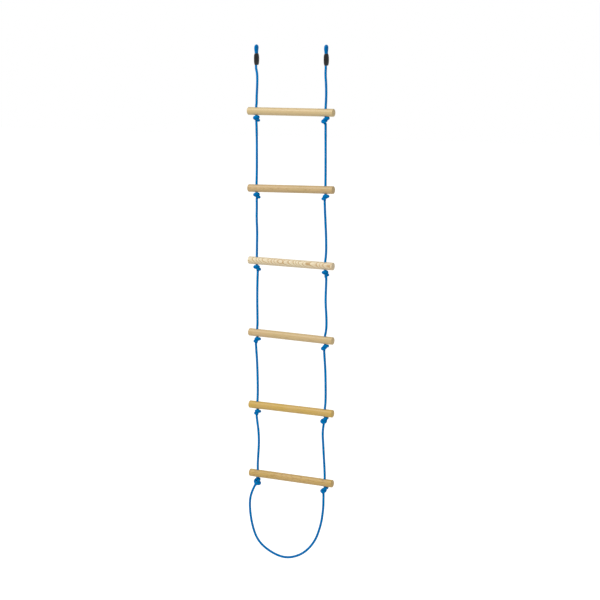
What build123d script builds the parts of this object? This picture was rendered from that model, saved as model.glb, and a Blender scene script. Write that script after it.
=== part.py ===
from build123d import *
import os
from math import pi, radians, tan

# Rope ladder for a climbing frame: six wooden rungs threaded on two ropes, a knot under
# each hole, a clamped eye at the top of each rope and one long loop of rope at the foot.
# X runs along the rungs, Z is up, and the ladder hangs in the plane Y = 0.
# The origin is midway between the two eyes, level with the inside of their crowns,
# where a hook or bar carries the ladder.

# Driving dimensions, in millimetres
rung_count = 6
rung_length = 366
rung_diameter = 30
rung_edge_round = 2.5
rope_diameter = 8
rope_spacing = 297  # between the two holes of a rung
hole_diameter = 10
hole_mouth_round = 0.8
first_rung_depth = 249  # from the origin down to the first rung
rung_pitch = 289
knot_diameter = 26
knot_gap = 0.4  # between a knot and the rung or rope that it meets
mouth_gap = 0.6  # between a rope's lower end and the rung that it enters

# How far above its even place each rung's left and right hole sits, as the knots were tied
tied_height = [(3.5, 4), (-5.5, 0.5), (-1, -3), (1, -4), (-2.5, -3.5), (6, 4.5)]

clamp_top = -25
clamp_length = 44
clamp_width = 19
clamp_depth = 27
clamp_end_width = 12.6
clamp_end_depth = 20.8
clamp_shoulder = 6  # height of the rounded shoulder at each end
clamp_belly = 2.6  # how much wider the barrel is at its middle than at its shoulders
clamp_bore_clearance = 0.1
groove_count = 5
groove_pitch = 4.8
groove_height = 1.4
groove_depth = 0.7

eye_top_width = 24  # width of the eye's outline between its two upper corners
eye_crown_radius = 8.8
eye_spread_rise = 4  # height above the clamp at which the two legs spread
eye_spread_radius = 30
leg_spacing = 9  # between the standing rope and its tail, inside the clamp
tail_cover = 7  # clamp left below the cut end of the tail

# The loop at the foot: its outline as x and depth below the last rung's holes
foot_loop = [
    (-176, -90),
    (-188, -150),
    (-176, -218),
    (-152, -285),
    (-92, -322),
    (-22, -338),
    (52, -308),
    (108, -248),
    (136, -168),
    (148, -98),
]

# Worked out from the dimensions above
rope_radius = rope_diameter / 2
rung_radius = rung_diameter / 2
knot_radius = knot_diameter / 2
half_spacing = rope_spacing / 2
clamp_bottom = clamp_top - clamp_length
clamp_middle = (clamp_top + clamp_bottom) / 2
clamp_y = leg_spacing / 2
groove_floor_width = clamp_width - 2 * groove_depth
groove_floor_depth = clamp_depth - 2 * groove_depth
crown_height = rope_radius  # centre line of the rope over the hook
neck_z = clamp_bottom - knot_gap - rope_radius
knot_drop = rung_radius + knot_gap + knot_radius  # from a hole's centre to its knot's centre
rope_start_drop = knot_drop + knot_radius + knot_gap + rope_radius
sides = {"left": -1, "right": 1}

os.makedirs("parts", exist_ok=True)


def hole_height(rung, side):
    """Height of the middle of one hole of a rung, counted from 1."""
    tied = tied_height[rung - 1][0 if side < 0 else 1]
    return -first_rung_depth - rung_pitch * (rung - 1) + tied


def save(piece, name):
    piece.label = name
    export_step(piece, f"parts/{name}.step")


def bend_radii(points):
    """The largest soft radius for each corner of a route, from its two runs and its turn."""
    radii = []
    for before, corner, after in zip(points, points[1:], points[2:]):
        arriving = corner - before
        leaving = after - corner
        shorter = min(arriving.length, leaving.length)
        half_turn = radians(arriving.get_angle(leaving)) / 2
        radii.append(0.45 * shorter / tan(half_turn))
    return radii


def make_rope_tube(points, radii):
    """A round rope along straight runs joined by tangent arcs."""
    with BuildPart() as tube:
        with BuildLine() as route:
            FilletPolyline(*points, radius=radii)
        start = route.wires()[0]
        with BuildSketch(Plane(start @ 0, z_dir=start % 0)):
            Circle(rope_radius)
        sweep()
    length = start.length
    swept = pi * rope_radius**2 * length
    rounded = [round(r, 1) for r in radii]
    print(f"rope {length:.1f} long, {tube.part.volume / swept:.4f} of its tube's volume, radii {rounded}")
    return tube.part


def make_rope_span(x, top, bottom):
    """A straight rope whose rounded ends turn in place under a knot and over a hole."""
    with BuildPart() as span:
        with Locations((x, 0, (top + bottom) / 2)):
            Cylinder(rope_radius, top - bottom)
        with Locations((x, 0, top), (x, 0, bottom)):
            Sphere(rope_radius)
    return span.part


def make_rung(rung):
    left = hole_height(rung, -1)
    right = hole_height(rung, 1)
    middle = Plane((0, 0, (left + right) / 2), x_dir=(0, 1, 0), z_dir=(rope_spacing, 0, right - left))
    with BuildPart() as dowel:
        with BuildSketch(middle):
            Circle(rung_radius)
        extrude(amount=rung_length / 2, both=True)
        fillet(dowel.edges().filter_by(GeomType.CIRCLE), rung_edge_round)
        with BuildSketch(Plane.XY.offset((left + right) / 2)):
            with Locations((-half_spacing, 0), (half_spacing, 0)):
                Circle(hole_diameter / 2)
        extrude(amount=rung_diameter, both=True, mode=Mode.SUBTRACT)
        fillet(dowel.edges(Select.LAST).filter_by(GeomType.BSPLINE), hole_mouth_round)
    return dowel.part


def make_hole_rope(x, height):
    """The stretch of rope that passes through a rung."""
    with BuildPart() as stretch:
        with Locations((x, 0, height)):
            Cylinder(rope_radius, rung_diameter)
    return stretch.part


def make_ball(x, height, radius):
    with BuildPart() as ball:
        with Locations((x, 0, height)):
            Sphere(radius)
    return ball.part


def make_eye(x):
    """Standing rope up through the clamp, over the crown, and its tail back into the clamp."""
    shoulder = clamp_top + eye_spread_rise
    corners = [
        (0, clamp_bottom),
        (0, shoulder),
        (clamp_y - eye_top_width / 2, crown_height),
        (clamp_y + eye_top_width / 2, crown_height),
        (leg_spacing, shoulder),
        (leg_spacing, clamp_bottom + tail_cover),
    ]
    points = [Vector(x, y, z) for y, z in corners]
    radii = [eye_spread_radius, eye_crown_radius, eye_crown_radius, eye_spread_radius]
    return make_rope_tube(points, radii)


def make_clamp_shell(x, outward):
    """Half of the moulded barrel that grips both legs of an eye, parted through the legs."""
    levels = [
        (clamp_bottom, clamp_end_width, clamp_end_depth),
        (clamp_bottom + clamp_shoulder, clamp_width - clamp_belly, clamp_depth - clamp_belly),
        (clamp_middle, clamp_width, clamp_depth),
        (clamp_top - clamp_shoulder, clamp_width - clamp_belly, clamp_depth - clamp_belly),
        (clamp_top, clamp_end_width, clamp_end_depth),
    ]
    bore_radius = rope_radius + clamp_bore_clearance
    lowest_groove = clamp_middle - groove_pitch * (groove_count - 1) / 2
    with BuildPart() as shell:
        for height, width, depth in levels:
            with BuildSketch(Plane.XY.offset(height)):
                with Locations((x, clamp_y)):
                    Ellipse(width / 2, depth / 2)
        loft()
        for n in range(groove_count):
            with BuildSketch(Plane.XY.offset(lowest_groove + n * groove_pitch)):
                with Locations((x, clamp_y)):
                    Ellipse(clamp_width, clamp_depth)
                    Ellipse(groove_floor_width / 2, groove_floor_depth / 2, mode=Mode.SUBTRACT)
            extrude(amount=groove_height / 2, both=True, mode=Mode.SUBTRACT)
        with BuildSketch(Plane.XY.offset(clamp_middle)):
            with Locations((x, 0), (x, leg_spacing)):
                Circle(bore_radius)
            with Locations((x, clamp_y)):
                Rectangle(bore_radius, leg_spacing)
        extrude(amount=clamp_length, both=True, mode=Mode.SUBTRACT)
        split(bisect_by=Plane((x, 0, 0), z_dir=(outward, 0, 0)), keep=Keep.TOP)
    return shell.part


def make_foot_loop():
    last_left = hole_height(rung_count, -1)
    last_right = hole_height(rung_count, 1)
    level = (last_left + last_right) / 2
    knots = Vector(-half_spacing, 0, last_left - knot_drop), Vector(half_spacing, 0, last_right - knot_drop)
    outline = [Vector(x, 0, level + depth) for x, depth in foot_loop]
    reach = knot_radius + knot_gap
    start = knots[0] + (outline[0] - knots[0]).normalized() * reach
    end = knots[1] + (outline[-1] - knots[1]).normalized() * reach
    points = [start, *outline, end]
    return make_rope_tube(points, bend_radii(points))


# Eyes, clamps and the short necks of rope below the clamps
for side, sign in sides.items():
    rope_x = sign * half_spacing
    save(make_eye(rope_x), f"eye_{side}")
    save(make_clamp_shell(rope_x, sign), f"clamp_{side}_outer_shell")
    save(make_clamp_shell(rope_x, -sign), f"clamp_{side}_inner_shell")
    save(make_ball(rope_x, neck_z, rope_radius), f"rope_neck_{side}")

# Rungs, with the ropes and knots of each
for rung in range(1, rung_count + 1):
    save(make_rung(rung), f"rung_{rung}")
    for side, sign in sides.items():
        rope_x = sign * half_spacing
        hole = hole_height(rung, sign)
        if rung == 1:
            span_top = neck_z - 2 * rope_radius - knot_gap
        else:
            span_top = hole_height(rung - 1, sign) - rope_start_drop
        span_bottom = hole + rung_radius + mouth_gap + rope_radius
        save(make_rope_span(rope_x, span_top, span_bottom), f"rope_{rung}_{side}")
        save(make_hole_rope(rope_x, hole), f"rope_in_rung_{rung}_{side}")
        save(make_ball(rope_x, hole - knot_drop, knot_radius), f"knot_{rung}_{side}")

save(make_foot_loop(), "foot_loop")
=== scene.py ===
import math

import bpy
import numpy as np
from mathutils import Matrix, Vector


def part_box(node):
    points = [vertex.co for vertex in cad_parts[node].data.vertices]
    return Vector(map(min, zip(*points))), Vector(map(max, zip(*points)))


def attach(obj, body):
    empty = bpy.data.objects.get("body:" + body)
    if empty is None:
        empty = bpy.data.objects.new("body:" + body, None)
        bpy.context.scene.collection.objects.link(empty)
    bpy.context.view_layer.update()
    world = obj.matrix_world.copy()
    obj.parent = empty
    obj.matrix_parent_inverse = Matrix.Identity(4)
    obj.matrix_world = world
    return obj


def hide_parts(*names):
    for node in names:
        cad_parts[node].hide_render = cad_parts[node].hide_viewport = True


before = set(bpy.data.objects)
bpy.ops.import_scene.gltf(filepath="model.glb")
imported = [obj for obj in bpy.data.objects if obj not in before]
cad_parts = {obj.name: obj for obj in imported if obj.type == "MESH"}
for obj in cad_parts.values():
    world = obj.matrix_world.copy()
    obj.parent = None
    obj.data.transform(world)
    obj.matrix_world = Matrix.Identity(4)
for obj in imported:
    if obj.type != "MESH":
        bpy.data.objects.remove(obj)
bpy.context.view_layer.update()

# Rope ladder: six wooden rungs on two blue ropes, a clamped eye at each top, a foot loop below.
# Everything is in metres. X runs along the rungs and Z is up.
mm = 0.001
sides = ("left", "right")
rungNumbers = range(1, 7)


def middle(node):
    low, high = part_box(node)
    return (Vector(low) + Vector(high)) / 2


def toLinear(hexColour):
    channels = [int(hexColour[i:i + 2], 16) / 255 for i in (1, 3, 5)]
    linear = [c / 12.92 if c <= 0.04045 else ((c + 0.055) / 1.055) ** 2.4 for c in channels]
    return (*linear, 1.0)


def addNode(tree, kind, settings=None, values=None, links=None):
    # settings are the node's own options, values its sockets, links its sockets fed by another
    node = tree.nodes.new(kind)
    for name, value in (settings or {}).items():
        setattr(node, name, value)
    for socket, value in (values or {}).items():
        node.inputs[socket].default_value = value
    for socket, source in (links or {}).items():
        tree.links.new(source, node.inputs[socket])
    return node


def startMaterial(name):
    material = bpy.data.materials.new(name)
    material.use_nodes = True
    tree = material.node_tree
    return material, tree, tree.nodes["Principled BSDF"]


def mixColours(tree, amount, first, second, blend="MIX"):
    # first and second are hex colours or sockets
    values, links = {}, {}
    for socket, colour in ((6, first), (7, second)):
        if isinstance(colour, str):
            values[socket] = toLinear(colour)
        else:
            links[socket] = colour
    if isinstance(amount, float):
        values[0] = amount
    else:
        links[0] = amount
    node = addNode(tree, "ShaderNodeMix", {"data_type": "RGBA", "blend_type": blend}, values, links)
    return node.outputs[2]


def setRamp(node, stops):
    ramp = node.color_ramp
    while len(ramp.elements) < len(stops):
        ramp.elements.new(0.5)
    for element, (place, shade) in zip(ramp.elements, stops):
        element.position = place
        element.color = (shade, shade, shade, 1)
    return node


braidLook = {
    "crown": "#008edb",      # tops of the strands, lighter as painted highlight
    "flank": "#0077c0",      # their sides
    "gap": "#00386f",        # painted shade between the strands
    "faded": "#0a99e2",      # where sun and hands have bleached it
    "glint": "#4fb4ff",      # colour of its highlights
    "haze": "#2f8fe8",       # colour of the light caught by stray fibres
    "yarnsPerStrand": 6,     # real rope has about 20, drawn coarser so that they show
    "yarnDepth": 0.12 * mm,
    "patchesPerMetre": 14.0,   # faded patches, each about 70 mm across
    "roughness": 0.58,
    "specular": 0.1,
    "sheen": 0.05,
}


def makeRopeMaterial(look):
    # Braided polypropylene: smooth fibres give it a soft gloss along each strand; its colour is painted
    # darker in the gaps between strands as painted shade and lighter on the strand crowns as painted
    # highlight
    material, tree, shader = startMaterial("braidedPolypropylene")
    strand = addNode(tree, "ShaderNodeUVMap", {"uv_map": "strand"})
    yarns = addNode(tree, "ShaderNodeMapping", values={"Scale": (look["yarnsPerStrand"], 0.45, 1)},
                    links={"Vector": strand.outputs["UV"]})
    fibres = addNode(tree, "ShaderNodeTexNoise", {"noise_dimensions": "2D"},
                     {"Scale": 1.0, "Detail": 3.0, "Roughness": 0.6}, {"Vector": yarns.outputs[0]})
    crown = addNode(tree, "ShaderNodeAttribute", {"attribute_name": "crown"})
    place = addNode(tree, "ShaderNodeTexCoord")
    wear = addNode(tree, "ShaderNodeTexNoise", {},
                   {"Scale": look["patchesPerMetre"], "Detail": 4.0, "Roughness": 0.65},
                   {"Vector": place.outputs["Object"]})
    # painted shade: the colour darkens from the strand flanks towards the gaps between strands, following
    # the braid's height
    depth = setRamp(addNode(tree, "ShaderNodeValToRGB", links={"Fac": crown.outputs["Fac"]}),
                    [(0.05, 0.0), (0.55, 1.0)])
    # painted highlight: the colour lightens towards the crowns of the strands, following the braid's height
    top = setRamp(addNode(tree, "ShaderNodeValToRGB", links={"Fac": crown.outputs["Fac"]}),
                  [(0.5, 0.0), (0.95, 1.0)])
    body = mixColours(tree, depth.outputs["Color"], look["gap"], look["flank"])
    lit = mixColours(tree, top.outputs["Color"], body, look["crown"])
    streak = setRamp(addNode(tree, "ShaderNodeValToRGB", links={"Fac": fibres.outputs["Fac"]}),
                     [(0.3, 0.55), (0.7, 1.0)])
    yarned = mixColours(tree, 0.55, lit, streak.outputs["Color"], "MULTIPLY")
    patches = setRamp(addNode(tree, "ShaderNodeValToRGB", links={"Fac": wear.outputs["Fac"]}),
                      [(0.45, 0.0), (0.8, 0.45)])
    worn = mixColours(tree, patches.outputs["Color"], yarned, look["faded"])
    bump = addNode(tree, "ShaderNodeBump", {}, {"Strength": 0.8, "Distance": look["yarnDepth"]},
                   {"Height": fibres.outputs["Fac"]})
    tree.links.new(worn, shader.inputs["Base Color"])
    tree.links.new(bump.outputs["Normal"], shader.inputs["Normal"])
    shader.inputs["Roughness"].default_value = look["roughness"]
    shader.inputs["IOR"].default_value = 1.49
    shader.inputs["Specular IOR Level"].default_value = look["specular"]
    shader.inputs["Specular Tint"].default_value = toLinear(look["glint"])
    shader.inputs["Sheen Weight"].default_value = look["sheen"]
    shader.inputs["Sheen Roughness"].default_value = 0.4
    shader.inputs["Sheen Tint"].default_value = toLinear(look["haze"])
    return material


ropeMaterial = makeRopeMaterial(braidLook)
print("rope material made")

braid = {
    "diameter": 8 * mm,
    "strandsEachWay": 8,
    "cellLength": 4.0 * mm,    # along the rope, from one crossing of a strand pair to the next
    "facesPerCell": 5,
    "lowest": 4.05 * mm,       # radius in the gaps between strands
    "highest": 4.85 * mm,      # radius on the crown of a strand
    "roundness": 0.55,         # share of a strand's height that its own round top gives
    "weave": 0.45,             # share that going over and under the others gives
    "domeSteps": 4,            # rings in each rounded end
}


def routeLine(points):
    # The smooth line of a route, as a NURBS spline with the route's points as its control points
    curve = bpy.data.curves.new("route", "CURVE")
    curve.dimensions = "3D"
    curve.resolution_u = 24
    spline = curve.splines.new("NURBS")
    spline.points.add(len(points) - 1)
    for point, place in zip(spline.points, points):
        point.co = (*place, 1)
    spline.order_u = 3
    spline.use_endpoint_u = True
    carrier = bpy.data.objects.new("route", curve)
    mesh = bpy.data.meshes.new_from_object(carrier)
    line = np.array([vertex.co for vertex in mesh.vertices])
    bpy.data.objects.remove(carrier)
    bpy.data.meshes.remove(mesh)
    bpy.data.curves.remove(curve)
    return line


def evenly(line, count):
    steps = np.linalg.norm(np.diff(line, axis=0), axis=1)
    along = np.concatenate([[0], np.cumsum(steps)])
    places = np.linspace(0, along[-1], count)
    return np.stack([np.interp(places, along, line[:, axis]) for axis in range(3)], axis=1), along[-1]


def unit(vectors):
    return vectors / np.linalg.norm(vectors, axis=-1, keepdims=True)


def carriedNormals(tangents):
    # Carries a side direction along the line without twist, then shares out what is left,
    # so that both ends lie along X and the braid runs on from one piece to the next
    def acrossX(tangent):
        return unit(np.array([1.0, 0, 0]) - tangent * tangent[0])

    normals = [acrossX(tangents[0])]
    for before, after in zip(tangents, tangents[1:]):
        turned = Vector(before).rotation_difference(Vector(after)) @ Vector(normals[-1])
        turned = np.array(turned)
        normals.append(unit(turned - after * (turned @ after)))
    wanted = acrossX(tangents[-1])
    side = np.cross(tangents[-1], normals[-1])
    spare = math.atan2(wanted @ side, wanted @ normals[-1])
    normals = np.array(normals)
    binormals = np.cross(tangents, normals)
    angles = np.linspace(0, spare, len(tangents))[:, None]
    return normals * np.cos(angles) + binormals * np.sin(angles)


def braidHeight(first, second):
    # first and second count the strands of each direction; a strand goes over one and under one
    acrossFirst, acrossSecond = first % 1, second % 1
    over = 1 - 2 * ((np.floor(first) + np.floor(second)) % 2)
    own, woven = braid["roundness"], over * braid["weave"]
    heightFirst = own * (1 - (2 * acrossFirst - 1) ** 2) + woven * np.sin(np.pi * acrossSecond)
    heightSecond = own * (1 - (2 * acrossSecond - 1) ** 2) - woven * np.sin(np.pi * acrossFirst)
    return np.maximum(heightFirst, heightSecond), heightFirst >= heightSecond


def makeRope(name, line, swell=0.0):
    # A braided rope along a line, with a rounded end centred on each end of the line.
    # swell is how much fatter it is in the middle than at its ends
    strands, perCell = braid["strandsEachWay"], braid["facesPerCell"]
    _, length = evenly(line, 2)
    cells = max(2, round(length / braid["cellLength"]))
    ringCount = cells * perCell + 1
    centres, _ = evenly(line, ringCount)
    tangents = unit(np.gradient(centres, axis=0))
    normals = carriedNormals(tangents)
    binormals = np.cross(tangents, normals)
    columns = strands * perCell
    around = np.arange(columns) / columns
    down = np.arange(ringCount) / perCell

    # every ring as its place on the line, its shift along the rope and its share of the full radius;
    # the shifted ones close the rounded ends
    domeSteps = braid["domeSteps"]
    dome = [math.pi / 2 * (n + 1) / (domeSteps + 1) for n in range(domeSteps)]
    radius = braid["highest"]
    rows = [(0, -math.sin(a) * radius, math.cos(a)) for a in reversed(dome)]
    rows += [(n, 0, 1) for n in range(ringCount)]
    rows += [(ringCount - 1, math.sin(a) * radius, math.cos(a)) for a in dome]
    index = np.array([row[0] for row in rows])
    shift = np.array([row[1] for row in rows])[:, None]
    shrink = np.array([row[2] for row in rows])[:, None]
    counted = down[index][:, None] + shift / braid["cellLength"]
    first = strands * around[None, :] + counted
    second = strands * around[None, :] - counted
    height, _ = braidHeight(first, second)
    low, high = braid["lowest"], braid["highest"]
    # the swelling is full at about a ninth of the length from each end
    fatter = 1 + swell * np.minimum(1, 3 * np.sin(np.pi * index / (ringCount - 1)))[:, None]
    reach = (low + (high - low) * height) * shrink * fatter
    angle = 2 * math.pi * around[None, :, None]
    direction = normals[index][:, None] * np.cos(angle) + binormals[index][:, None] * np.sin(angle)
    middles = centres[index] + tangents[index] * shift
    points = middles[:, None] + direction * reach[:, :, None]
    poles = [centres[0] - tangents[0] * radius, centres[-1] + tangents[-1] * radius]
    vertices = np.vstack([points.reshape(-1, 3), poles])

    rowCount = len(rows)
    row, column = np.meshgrid(np.arange(rowCount - 1), np.arange(columns), indexing="ij")
    nextColumn = (column + 1) % columns
    corners = [row * columns + column, row * columns + nextColumn,
               (row + 1) * columns + nextColumn, (row + 1) * columns + column]
    quads = np.stack(corners, axis=-1).reshape(-1, 4)
    lastRow = (rowCount - 1) * columns
    top, bottom = rowCount * columns, rowCount * columns + 1
    caps = [(top, (n + 1) % columns, n) for n in range(columns)]
    caps += [(bottom, lastRow + n, lastRow + (n + 1) % columns) for n in range(columns)]
    mesh = bpy.data.meshes.new(name)
    mesh.from_pydata(vertices.tolist(), [], quads.tolist() + caps)

    # the strand map: across its strand, with each strand its own number, and along it;
    # the second way of the braid counts on from a number that the first never reaches
    secondWay = 97
    cornerRow = np.stack([row, row, row + 1, row + 1], axis=-1).reshape(-1, 4)
    cornerColumn = np.stack([column, column + 1, column + 1, column], axis=-1).reshape(-1, 4)
    cornerDown = counted[:, 0][cornerRow]
    cornerFirst = cornerColumn / perCell + cornerDown
    cornerSecond = cornerColumn / perCell - cornerDown
    _, firstOver = braidHeight(cornerFirst.mean(axis=1), cornerSecond.mean(axis=1))
    across = np.where(firstOver[:, None], cornerFirst, cornerSecond + secondWay)
    along = np.where(firstOver[:, None], cornerSecond, cornerFirst)
    quadMap = np.stack([across, along], axis=-1).reshape(-1, 2)
    capMap = np.zeros((len(caps) * 3, 2))
    strandMap = mesh.uv_layers.new(name="strand")
    strandMap.data.foreach_set("uv", np.vstack([quadMap, capMap]).ravel())
    crown = mesh.attributes.new("crown", "FLOAT", "POINT")
    crown.data.foreach_set("value", np.append(height.ravel(), [1.0, 1.0]))
    mesh.shade_smooth()
    mesh.materials.append(ropeMaterial)
    piece = bpy.data.objects.new(name, mesh)
    bpy.context.scene.collection.objects.link(piece)
    return piece, centres, length


# Where each stretch turns in place, just under a knot or clamp and just above a hole
def spanEnds(rung, side):
    low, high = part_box(f"rope_{rung}_{side}")
    radius = braid["diameter"] / 2
    x = (low[0] + high[0]) / 2
    return Vector((x, 0, high[2] - radius)), Vector((x, 0, low[2] + radius))


eye = {
    # the route through the clamp and over the crown, as y and z
    "route": [(0, -69), (0, -45), (0, -25), (-4, -13), (-5.5, -2), (0, 4.4), (8.5, 4.4), (12.5, -1),
              (10.5, -10), (8, -20), (9, -45), (9, -62)],
    "length": 150.5 * mm,
}

for side in sides:
    neck = middle(f"rope_neck_{side}")
    route = [Vector((neck.x, y * mm, z * mm)) for y, z in eye["route"]]
    route[0] = neck
    piece, path, _ = makeRope(f"rope_eye_{side}", routeLine(route))
    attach(piece, "eyes")
    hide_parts(f"eye_{side}")
    top, _ = spanEnds(1, side)
    piece, _, _ = makeRope(f"rope_below_clamp_{side}", np.array([neck, top]))
    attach(piece, "rope_necks")
    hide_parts(f"rope_neck_{side}")
print("eyes and necks made")

# Where each stretch bows aside from a straight line: how far down it, and how many mm towards +X
bows = {
    1: {"left": [(0.12, 4.5), (0.3, 5.4), (0.52, 4.2), (0.75, 2), (0.93, 2)],
        "right": [(0.12, -1.5), (0.4, 1.8), (0.75, 2.5)]},
    2: {"left": [(0.15, 2), (0.5, 2), (0.85, 1.5)], "right": [(0.15, 0), (0.6, 0.5), (0.85, 0.5)]},
    3: {"left": [(0.1, 1), (0.33, -0.5), (0.55, 2), (0.85, 0.5)],
        "right": [(0.12, -2.2), (0.3, 0), (0.6, 3.5), (0.9, 4)]},
    4: {"left": [(0.12, 2.2), (0.45, 0.5), (0.8, 1.5), (0.95, 1.5)],
        "right": [(0.12, 4), (0.42, 1.2), (0.7, 6), (0.92, 5.5)]},
    5: {"left": [(0.1, -4.5), (0.3, -1), (0.65, 1.5), (0.9, 1.5)],
        "right": [(0.1, -2.2), (0.35, 2), (0.7, 3.4), (0.93, 2.7)]},
    6: {"left": [(0.1, -1.5), (0.27, 4), (0.5, 6), (0.75, 2), (0.93, -0.5)],
        "right": [(0.08, -8), (0.2, -9.5), (0.4, -6.6), (0.65, -3.5), (0.9, 0)]},
}

# How many mm towards +X of its knot's middle each rope leaves the knot above it
leaves = {
    2: {"left": 0.5, "right": 0},
    3: {"left": 0.5, "right": -3},
    4: {"left": 3.5, "right": 4.5},
    5: {"left": -6, "right": -3.5},
    6: {"left": -4, "right": -5},
}


def spanTop(rung, side):
    aside = leaves[rung][side] if rung in leaves else 0
    return spanEnds(rung, side)[0] + Vector((aside * mm, 0, 0))


for rung in rungNumbers:
    for side in sides:
        top, bottom = spanEnds(rung, side)
        route = [spanTop(rung, side)]
        route += [top.lerp(bottom, share) + Vector((aside * mm, 0, 0)) for share, aside in bows[rung][side]]
        route.append(bottom)
        piece, path, length = makeRope(f"rope_stretch_{rung}_{side}", routeLine(route))
        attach(piece, f"{side}_rope_{rung}")
        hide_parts(f"rope_{rung}_{side}")
print("ropes between the rungs made")

knot = {
    "ropeGap": 8.1 * mm,         # between the centre lines of two turns that touch
    "spacing": 1.6 * mm,         # between the points of the line that is pulled tight
    "looseTurn": (6.5 * mm, 4.5 * mm, 2.2 * mm),   # scale of the untightened turns in X, Y and Z
    "slack": 22 * mm,            # how far each end is drawn out while the knot is pulled tight
    "steps": 300,
    "pull": 0.25,                # share of each bend that one step takes out
    "pushes": 10,                # most times a step pushes touching turns apart
    "push": 1.2,                 # share of their overlap that each time takes out
    "firstTouch": 1.45,          # rope gaps along the rope before two places of it can touch
    "topTail": 12.6 * mm,        # from the knot's middle up to the end of its rope, at the hole's mouth
    "core": 3 * mm,              # the rope nearer than this to the hole's axis is tail, not turn
    "room": 8.8 * mm,            # from the knot's middle up to the turns that lie against the rung
    "underRung": 28.4 * mm,      # from the knot's middle up to the rung's centre line
    "bearingReach": 19.8 * mm,   # from there down to the middle of a turn that bears on the rung
    "mostLift": 4.0 * mm,        # furthest that a pulled knot is drawn up to its rung
    "swell": 0.15,               # a knot's rope is squeezed fatter
}


def turned(points, degrees):
    c, s = math.cos(math.radians(degrees)), math.sin(math.radians(degrees))
    x, y, z = points.T
    return np.stack([c * x - s * y, s * x + c * y, z], axis=1)


def isTurn(line):
    return np.hypot(line[:, 0], line[:, 1]) > knot["core"]


def tieKnot(looseness, degrees, hand, bottomTail):
    # An overhand knot laid out loosely by formula, then pulled tight: each step shortens the rope,
    # and turns that press into each other are pushed apart to one rope's thickness
    gap, spacing, steps = knot["ropeGap"] * looseness, knot["spacing"], knot["steps"]
    wide, deep, tall = knot["looseTurn"]
    t = np.linspace(-2.05, 2.05, 401)   # the stretch of the formula that crosses over itself as a knot does
    line = np.stack([wide * (t**3 - 3 * t), deep * (t**4 - 4 * t**2 + 2), tall * (t**5 - 10 * t)], axis=1)
    if line[0, 2] < line[-1, 2]:
        line = line[::-1]
    line = turned(line * np.array([hand, 1, 1]), degrees)
    slack = knot["slack"]
    topEnd = np.array([0, 0, knot["topTail"]])
    line = np.vstack([topEnd + (0, 0, slack), line, bottomTail - (0, 0, slack)])
    for step in range(steps):
        left = slack * (1 - (step + 1) / steps)
        _, length = evenly(line, 2)
        line, _ = evenly(line, round(length / spacing) + 1)
        line[0], line[-1] = topEnd + (0, 0, left), bottomTail - (0, 0, left)
        line[1:-1] += knot["pull"] * ((line[:-2] + line[2:]) / 2 - line[1:-1])
        one, other = np.triu_indices(len(line), k=math.ceil(knot["firstTouch"] * gap / spacing))
        for _ in range(knot["pushes"]):
            apart = line[other] - line[one]
            distance = np.linalg.norm(apart, axis=1)
            close = distance < gap
            if not close.any():
                break
            push = 0.5 * apart[close] * ((gap - distance[close]) / distance[close])[:, None]
            moves, touches = np.zeros_like(line), np.zeros(len(line))
            np.add.at(moves, one[close], -push)
            np.add.at(moves, other[close], push)
            np.add.at(touches, one[close], 1)
            np.add.at(touches, other[close], 1)
            moves /= np.maximum(touches, 1)[:, None]
            moves[0] = moves[-1] = 0
            line = line + knot["push"] * moves
        # its turns stay under the rung, also when the rope swings and the knot rolls along it
        reach = np.hypot(line[:, 1], line[:, 2])
        high = isTurn(line) & (line[:, 2] > 0.35 * np.abs(line[:, 1])) & (reach > knot["room"])
        line[high, 1:] *= (1 - 0.5 * (1 - knot["room"] / reach[high]))[:, None]
    # then it is drawn up until a turn bears on the rung
    turns = line[isTurn(line)]
    bearing = knot["underRung"] - np.sqrt(knot["bearingReach"] ** 2 - turns[:, 1] ** 2)
    lift = min(np.min(bearing - turns[:, 2]), knot["mostLift"])
    line[:, 2] += lift
    return np.vstack([topEnd, line[line[:, 2] < topEnd[2] - spacing], bottomTail])


# How loosely each knot was pulled (1 is tight), its turn about the rope in degrees, and 1 or -1 for its hand
tied = {
    1: {"left": (1.0, 90, -1), "right": (1.0, 22, 1)},
    2: {"left": (1.0, 78, -1), "right": (1.0, 345, 1)},
    3: {"left": (1.0, 62, -1), "right": (1.0, 74, -1)},
    4: {"left": (1.0, 340, 1), "right": (1.0, 0, 1)},
    5: {"left": (1.0, 330, 1), "right": (1.04, 60, 1)},
    6: {"left": (1.2, 120, 1), "right": (1.0, 38, 1)},
}

# The loop at the foot: its outline as x and depth below the last rung's holes
footLoop = {
    "outline": [(-177, -76), (-188, -130), (-177.5, -213), (-150.5, -281), (-91, -320),
                (-22, -336), (52, -308), (106.5, -248), (132, -176), (140.5, -124), (143.5, -88)],
    "leaves": {"left": 0, "right": -4},   # mm towards +X where it meets the last knots
    "length": 758.0 * mm,
    "start": 13.4 * mm,                   # from a knot's middle to the loop's own end
    "intoKnot": 1.2,                      # how many times that far the knot's tail reaches
}
holes = {(rung, side): middle(f"rope_in_rung_{rung}_{side}") for rung in rungNumbers for side in sides}
level = (holes[6, "left"].z + holes[6, "right"].z) / 2
loopOutline = [Vector((x * mm, 0, level + depth * mm)) for x, depth in footLoop["outline"]]
loopStart = {}
for side, corner in (("left", loopOutline[0]), ("right", loopOutline[-1])):
    centre = middle(f"knot_6_{side}")
    aside = Vector((footLoop["leaves"][side] * mm, 0, 0))
    loopStart[side] = centre + (corner - centre).normalized() * footLoop["start"] + aside

holeTail = 16.5 * mm    # from the middle of a rung down to the end of the rope in its hole

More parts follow.
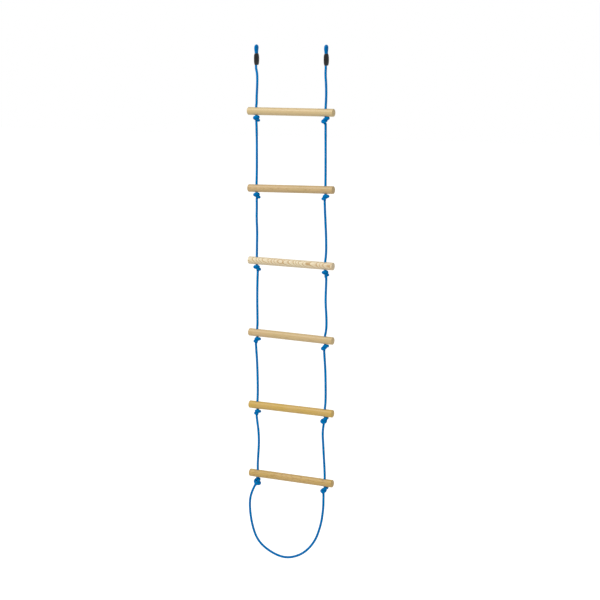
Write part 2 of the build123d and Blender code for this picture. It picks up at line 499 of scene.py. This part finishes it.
for rung in rungNumbers:
    for side in sides:
        centre = middle(f"knot_{rung}_{side}")
        if rung < 6:
            below = spanTop(rung + 1, side) - centre
        else:
            below = (loopStart[side] - centre) * footLoop["intoKnot"]
        line = tieKnot(*tied[rung][side], np.array(below)) + np.array(centre)
        piece, _, _ = makeRope(f"rope_knot_{rung}_{side}", routeLine(line[::2]), knot["swell"])
        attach(piece, f"knots_{rung}")
        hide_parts(f"knot_{rung}_{side}")

        above = spanEnds(rung, side)[1]
        below = holes[rung, side] - Vector((0, 0, holeTail))
        piece, _, _ = makeRope(f"rope_in_hole_{rung}_{side}", np.array([above, below]))
        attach(piece, f"rung_{rung}")
        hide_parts(f"rope_in_rung_{rung}_{side}")
print("knots tied")

route = [loopStart["left"], *loopOutline, loopStart["right"]]
piece, path, _ = makeRope("rope_foot_loop", routeLine(route))
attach(piece, "knots_6")
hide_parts("foot_loop")
print("foot loop made")

# Each rung's own wood: light and dark tones, the pith's place in mm from the rung's centre line,
# ring width, how far the pith drifts in mm and how many times a metre, how fast the rings taper along
# the rung, which chains them into arches, and how strong the figure and the brown flecks are
woods = {
    1: {"light": "#dcc592", "dark": "#be9f67", "pith": (38, -30), "ring": 3.4, "drift": 34, "wander": 5,
        "taper": 0.0, "figure": 0.55, "flecks": 0.2},
    2: {"light": "#d2b67f", "dark": "#ad8d5c", "pith": (-46, 20), "ring": 2.8, "drift": 34, "wander": 6,
        "taper": 0.02, "figure": 0.65, "flecks": 0.35},
    3: {"light": "#fbf1d0", "dark": "#bf9858", "pith": (17, 3), "ring": 3.0, "drift": 15, "wander": 17,
        "taper": 0.15, "figure": 1.0, "flecks": 0.2},
    4: {"light": "#dcc18a", "dark": "#b6955c", "pith": (52, 34), "ring": 3.0, "drift": 34, "wander": 5,
        "taper": 0.0, "figure": 0.45, "flecks": 0.25},
    5: {"light": "#dfbb58", "dark": "#b58a30", "pith": (-34, -26), "ring": 3.6, "drift": 34, "wander": 5,
        "taper": 0.0, "figure": 0.6, "flecks": 0.3},
    6: {"light": "#d8b568", "dark": "#ad8542", "pith": (44, -12), "ring": 3.0, "drift": 34, "wander": 5,
        "taper": 0.0, "figure": 0.6, "flecks": 0.8},
}

beechLook = {
    "cloud": "#d9b48a",        # warmer patches, about 110 mm across
    "fleck": "#8f6136",
    "fibreDepth": 0.1 * mm,
    "roughness": 0.48,
    "polish": 0.12,            # a thin wax, which gives the top a soft sheen
}


def makeWood(number, wood, node):
    # Sanded beech: satin, pale, with soft growth rings along the grain and short brown flecks
    material, tree, shader = startMaterial(f"sandedBeech{number}")
    place = addNode(tree, "ShaderNodeTexCoord")
    centre = middle(node)
    pith = Vector((0, wood["pith"][0] * mm, wood["pith"][1] * mm))
    # measured from the pith; each rung comes from another stretch of the tree
    centred = addNode(tree, "ShaderNodeMapping", {"vector_type": "POINT"},
                      {"Location": (number * 0.7, -centre.y - pith.y, -centre.z - pith.z)},
                      {"Vector": place.outputs["Object"]})
    # slow drift of the tree's axis along the rung, which opens the rings into arches;
    # across the rung it changes over about 110 mm
    along = addNode(tree, "ShaderNodeMapping", {}, {"Scale": (wood["wander"], 9.0, 9.0)},
                    {"Vector": centred.outputs[0]})
    drift = addNode(tree, "ShaderNodeTexNoise", {}, {"Scale": 1.0, "Detail": 2.0},
                    {"Vector": along.outputs[0]})
    swing = addNode(tree, "ShaderNodeVectorMath", {"operation": "MULTIPLY_ADD"},
                    {1: (0.0, wood["drift"] * mm, wood["drift"] * mm)},
                    {0: drift.outputs["Color"], 2: centred.outputs[0]})
    flat = addNode(tree, "ShaderNodeVectorMath", {"operation": "MULTIPLY"}, {1: (0.0, 1.0, 1.0)},
                   {0: swing.outputs[0]})
    far = addNode(tree, "ShaderNodeVectorMath", {"operation": "LENGTH"}, links={0: flat.outputs[0]})
    lengthwise = addNode(tree, "ShaderNodeSeparateXYZ", links={"Vector": centred.outputs[0]})
    coned = addNode(tree, "ShaderNodeMath", {"operation": "MULTIPLY_ADD"}, {1: wood["taper"]},
                    {0: lengthwise.outputs["X"], 2: far.outputs["Value"]})
    rings = addNode(tree, "ShaderNodeMath", {"operation": "MULTIPLY"}, {1: 1 / (wood["ring"] * mm)},
                    {0: coned.outputs[0]})
    ringPlace = addNode(tree, "ShaderNodeMath", {"operation": "FRACT"}, links={0: rings.outputs[0]})
    growth = addNode(tree, "ShaderNodeValToRGB", links={"Fac": ringPlace.outputs[0]})
    setRamp(growth, [(0.0, 0.15), (0.55, 0.35), (0.9, 1.0), (1.0, 0.15)])
    # fibres: 0.6 mm across the grain and about 40 mm along it
    fibreSpace = addNode(tree, "ShaderNodeMapping", {}, {"Scale": (25.0, 1700.0, 1700.0)},
                         {"Vector": centred.outputs[0]})
    fibres = addNode(tree, "ShaderNodeTexNoise", {}, {"Scale": 1.0, "Detail": 3.0, "Roughness": 0.7},
                     {"Vector": fibreSpace.outputs[0]})
    # flecks: about 13 mm long and 2.4 mm across, coarser than beech's own so that they show
    fleckSpace = addNode(tree, "ShaderNodeMapping", {}, {"Scale": (75.0, 420.0, 420.0)},
                         {"Vector": centred.outputs[0]})
    flecks = addNode(tree, "ShaderNodeTexNoise", {}, {"Scale": 1.0, "Detail": 1.0},
                     {"Vector": fleckSpace.outputs[0]})
    fleck = setRamp(addNode(tree, "ShaderNodeValToRGB", links={"Fac": flecks.outputs["Fac"]}),
                    [(0.64, 0.0), (0.72, 1.0)])
    cloud = addNode(tree, "ShaderNodeTexNoise", {}, {"Scale": 9.0, "Detail": 2.0},
                    {"Vector": centred.outputs[0]})
    ringAmount = addNode(tree, "ShaderNodeMath", {"operation": "MULTIPLY"}, {1: wood["figure"]},
                         {0: growth.outputs["Color"]})
    base = mixColours(tree, ringAmount.outputs[0], wood["light"], wood["dark"])
    streaks = setRamp(addNode(tree, "ShaderNodeValToRGB", links={"Fac": fibres.outputs["Fac"]}),
                      [(0.3, 0.78), (0.62, 1.0)])
    fibred = mixColours(tree, 0.6, base, streaks.outputs["Color"], "MULTIPLY")
    patch = setRamp(addNode(tree, "ShaderNodeValToRGB", links={"Fac": cloud.outputs["Fac"]}),
                    [(0.4, 0.0), (0.7, 0.35)])
    clouded = mixColours(tree, patch.outputs["Color"], fibred, beechLook["cloud"])
    fleckAmount = addNode(tree, "ShaderNodeMath", {"operation": "MULTIPLY"}, {1: wood["flecks"]},
                          {0: fleck.outputs["Color"]})
    flecked = mixColours(tree, fleckAmount.outputs[0], clouded, beechLook["fleck"])
    bump = addNode(tree, "ShaderNodeBump", {}, {"Strength": 0.35, "Distance": beechLook["fibreDepth"]},
                   {"Height": fibres.outputs["Fac"]})
    tree.links.new(flecked, shader.inputs["Base Color"])
    tree.links.new(bump.outputs["Normal"], shader.inputs["Normal"])
    shader.inputs["Roughness"].default_value = beechLook["roughness"]
    shader.inputs["IOR"].default_value = 1.5
    shader.inputs["Coat Weight"].default_value = beechLook["polish"]
    shader.inputs["Coat Roughness"].default_value = 0.35
    return material


def dress(node, material):
    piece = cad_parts[node]
    piece.data.materials.clear()
    piece.data.materials.append(material)


for number, wood in woods.items():
    dress(f"rung_{number}", makeWood(number, wood, f"rung_{number}"))
print("rungs finished")

clampLook = {
    "colour": "#121112",
    "rubbed": "#232122",
    "roughness": 0.24,
    "specular": 0.45,
    "grain": 0.5 * mm,         # size of the mould's spark grain
    "grainDepth": 0.06 * mm,
}


def makeNylon(look):
    # Glass-filled nylon: near black, moulded with a fine spark grain that blurs its highlight
    material, tree, shader = startMaterial("mouldedNylon")
    place = addNode(tree, "ShaderNodeTexCoord")
    grain = addNode(tree, "ShaderNodeTexNoise", {}, {"Scale": 1 / look["grain"], "Detail": 2.0},
                    {"Vector": place.outputs["Object"]})
    # rubbed patches about 11 mm across
    rub = addNode(tree, "ShaderNodeTexNoise", {}, {"Scale": 90.0, "Detail": 3.0},
                  {"Vector": place.outputs["Object"]})
    rubbed = setRamp(addNode(tree, "ShaderNodeValToRGB", links={"Fac": rub.outputs["Fac"]}),
                     [(0.45, 0.0), (0.75, 0.6)])
    colour = mixColours(tree, rubbed.outputs["Color"], look["colour"], look["rubbed"])
    bump = addNode(tree, "ShaderNodeBump", {}, {"Strength": 0.4, "Distance": look["grainDepth"]},
                   {"Height": grain.outputs["Fac"]})
    tree.links.new(colour, shader.inputs["Base Color"])
    tree.links.new(bump.outputs["Normal"], shader.inputs["Normal"])
    shader.inputs["Roughness"].default_value = look["roughness"]
    shader.inputs["IOR"].default_value = 1.53
    shader.inputs["Specular IOR Level"].default_value = look["specular"]
    return material


nylon = makeNylon(clampLook)
for side in sides:
    for shell in ("outer", "inner"):
        dress(f"clamp_{side}_{shell}_shell", nylon)
print("clamps finished")

studio = {
    "floorDepth": 2.5,
    "floorSize": 60.0,
    "paper": "#c4c4c4",
    "fill": 0.55,           # strength of the white surroundings as a light
    "paperGlow": 0.8,       # lifts the floor to the backdrop's white
    "paperBounce": 0.38,    # what that adds to the light from below
    "keyPlace": (-1.6, -3.0, 3.4),
    "keyAim": (0, 0, -1.0),
    "keySize": 1.8,
    "keyPower": 150,
    "azimuth": 26.5,
    "elevation": 9.43,
    "distance": 6.260,
    "target": (0.0402, 0, -0.9706),
    "lens": 96.76,
}

bpy.ops.mesh.primitive_plane_add(size=studio["floorSize"], location=(0, 0, -studio["floorDepth"]))
floor = bpy.context.object
floor.name = "floor"
paper, paperTree, paperShader = startMaterial("whitePaper")
paperShader.inputs["Base Color"].default_value = toLinear(studio["paper"])
paperShader.inputs["Roughness"].default_value = 0.9
paperShader.inputs["Emission Color"].default_value = toLinear("#ffffff")
paperRay = addNode(paperTree, "ShaderNodeLightPath")
glow = addNode(paperTree, "ShaderNodeMapRange", {},
               {"To Min": studio["paperBounce"], "To Max": studio["paperGlow"]},
               {"Value": paperRay.outputs["Is Camera Ray"]})
paperTree.links.new(glow.outputs["Result"], paperShader.inputs["Emission Strength"])
floor.data.materials.append(paper)

world = bpy.data.worlds.new("softWhite")
world.use_nodes = True
worldTree = world.node_tree
sky = worldTree.nodes["Background"]
ray = addNode(worldTree, "ShaderNodeLightPath")
# seen plainly the backdrop is white; as a light it is dimmer, so that shapes keep their shading
strength = addNode(worldTree, "ShaderNodeMapRange", {}, {"To Min": studio["fill"], "To Max": 1.0},
                   {"Value": ray.outputs["Is Camera Ray"]})
worldTree.links.new(strength.outputs["Result"], sky.inputs["Strength"])
sky.inputs["Color"].default_value = toLinear("#ffffff")
bpy.context.scene.world = world

light = bpy.data.lights.new("keyLight", "AREA")
light.size = studio["keySize"]
light.energy = studio["keyPower"]
softbox = bpy.data.objects.new("keyLight", light)
softbox.location = studio["keyPlace"]
aim = Vector(studio["keyAim"]) - Vector(studio["keyPlace"])
softbox.rotation_euler = aim.to_track_quat("-Z", "Y").to_euler()
bpy.context.scene.collection.objects.link(softbox)

azimuth, elevation = math.radians(studio["azimuth"]), math.radians(studio["elevation"])
back = Vector((math.sin(azimuth) * math.cos(elevation), -math.cos(azimuth) * math.cos(elevation),
               math.sin(elevation)))
camera = bpy.data.objects.new("camera", bpy.data.cameras.new("camera"))
camera.data.lens = studio["lens"]
camera.data.sensor_width = 36
camera.data.clip_end = 200
camera.location = Vector(studio["target"]) + back * studio["distance"]
camera.rotation_euler = (-back).to_track_quat("-Z", "Y").to_euler()
bpy.context.scene.collection.objects.link(camera)
bpy.context.scene.camera = camera
bpy.context.scene.view_settings.view_transform = "Standard"
print("studio ready")
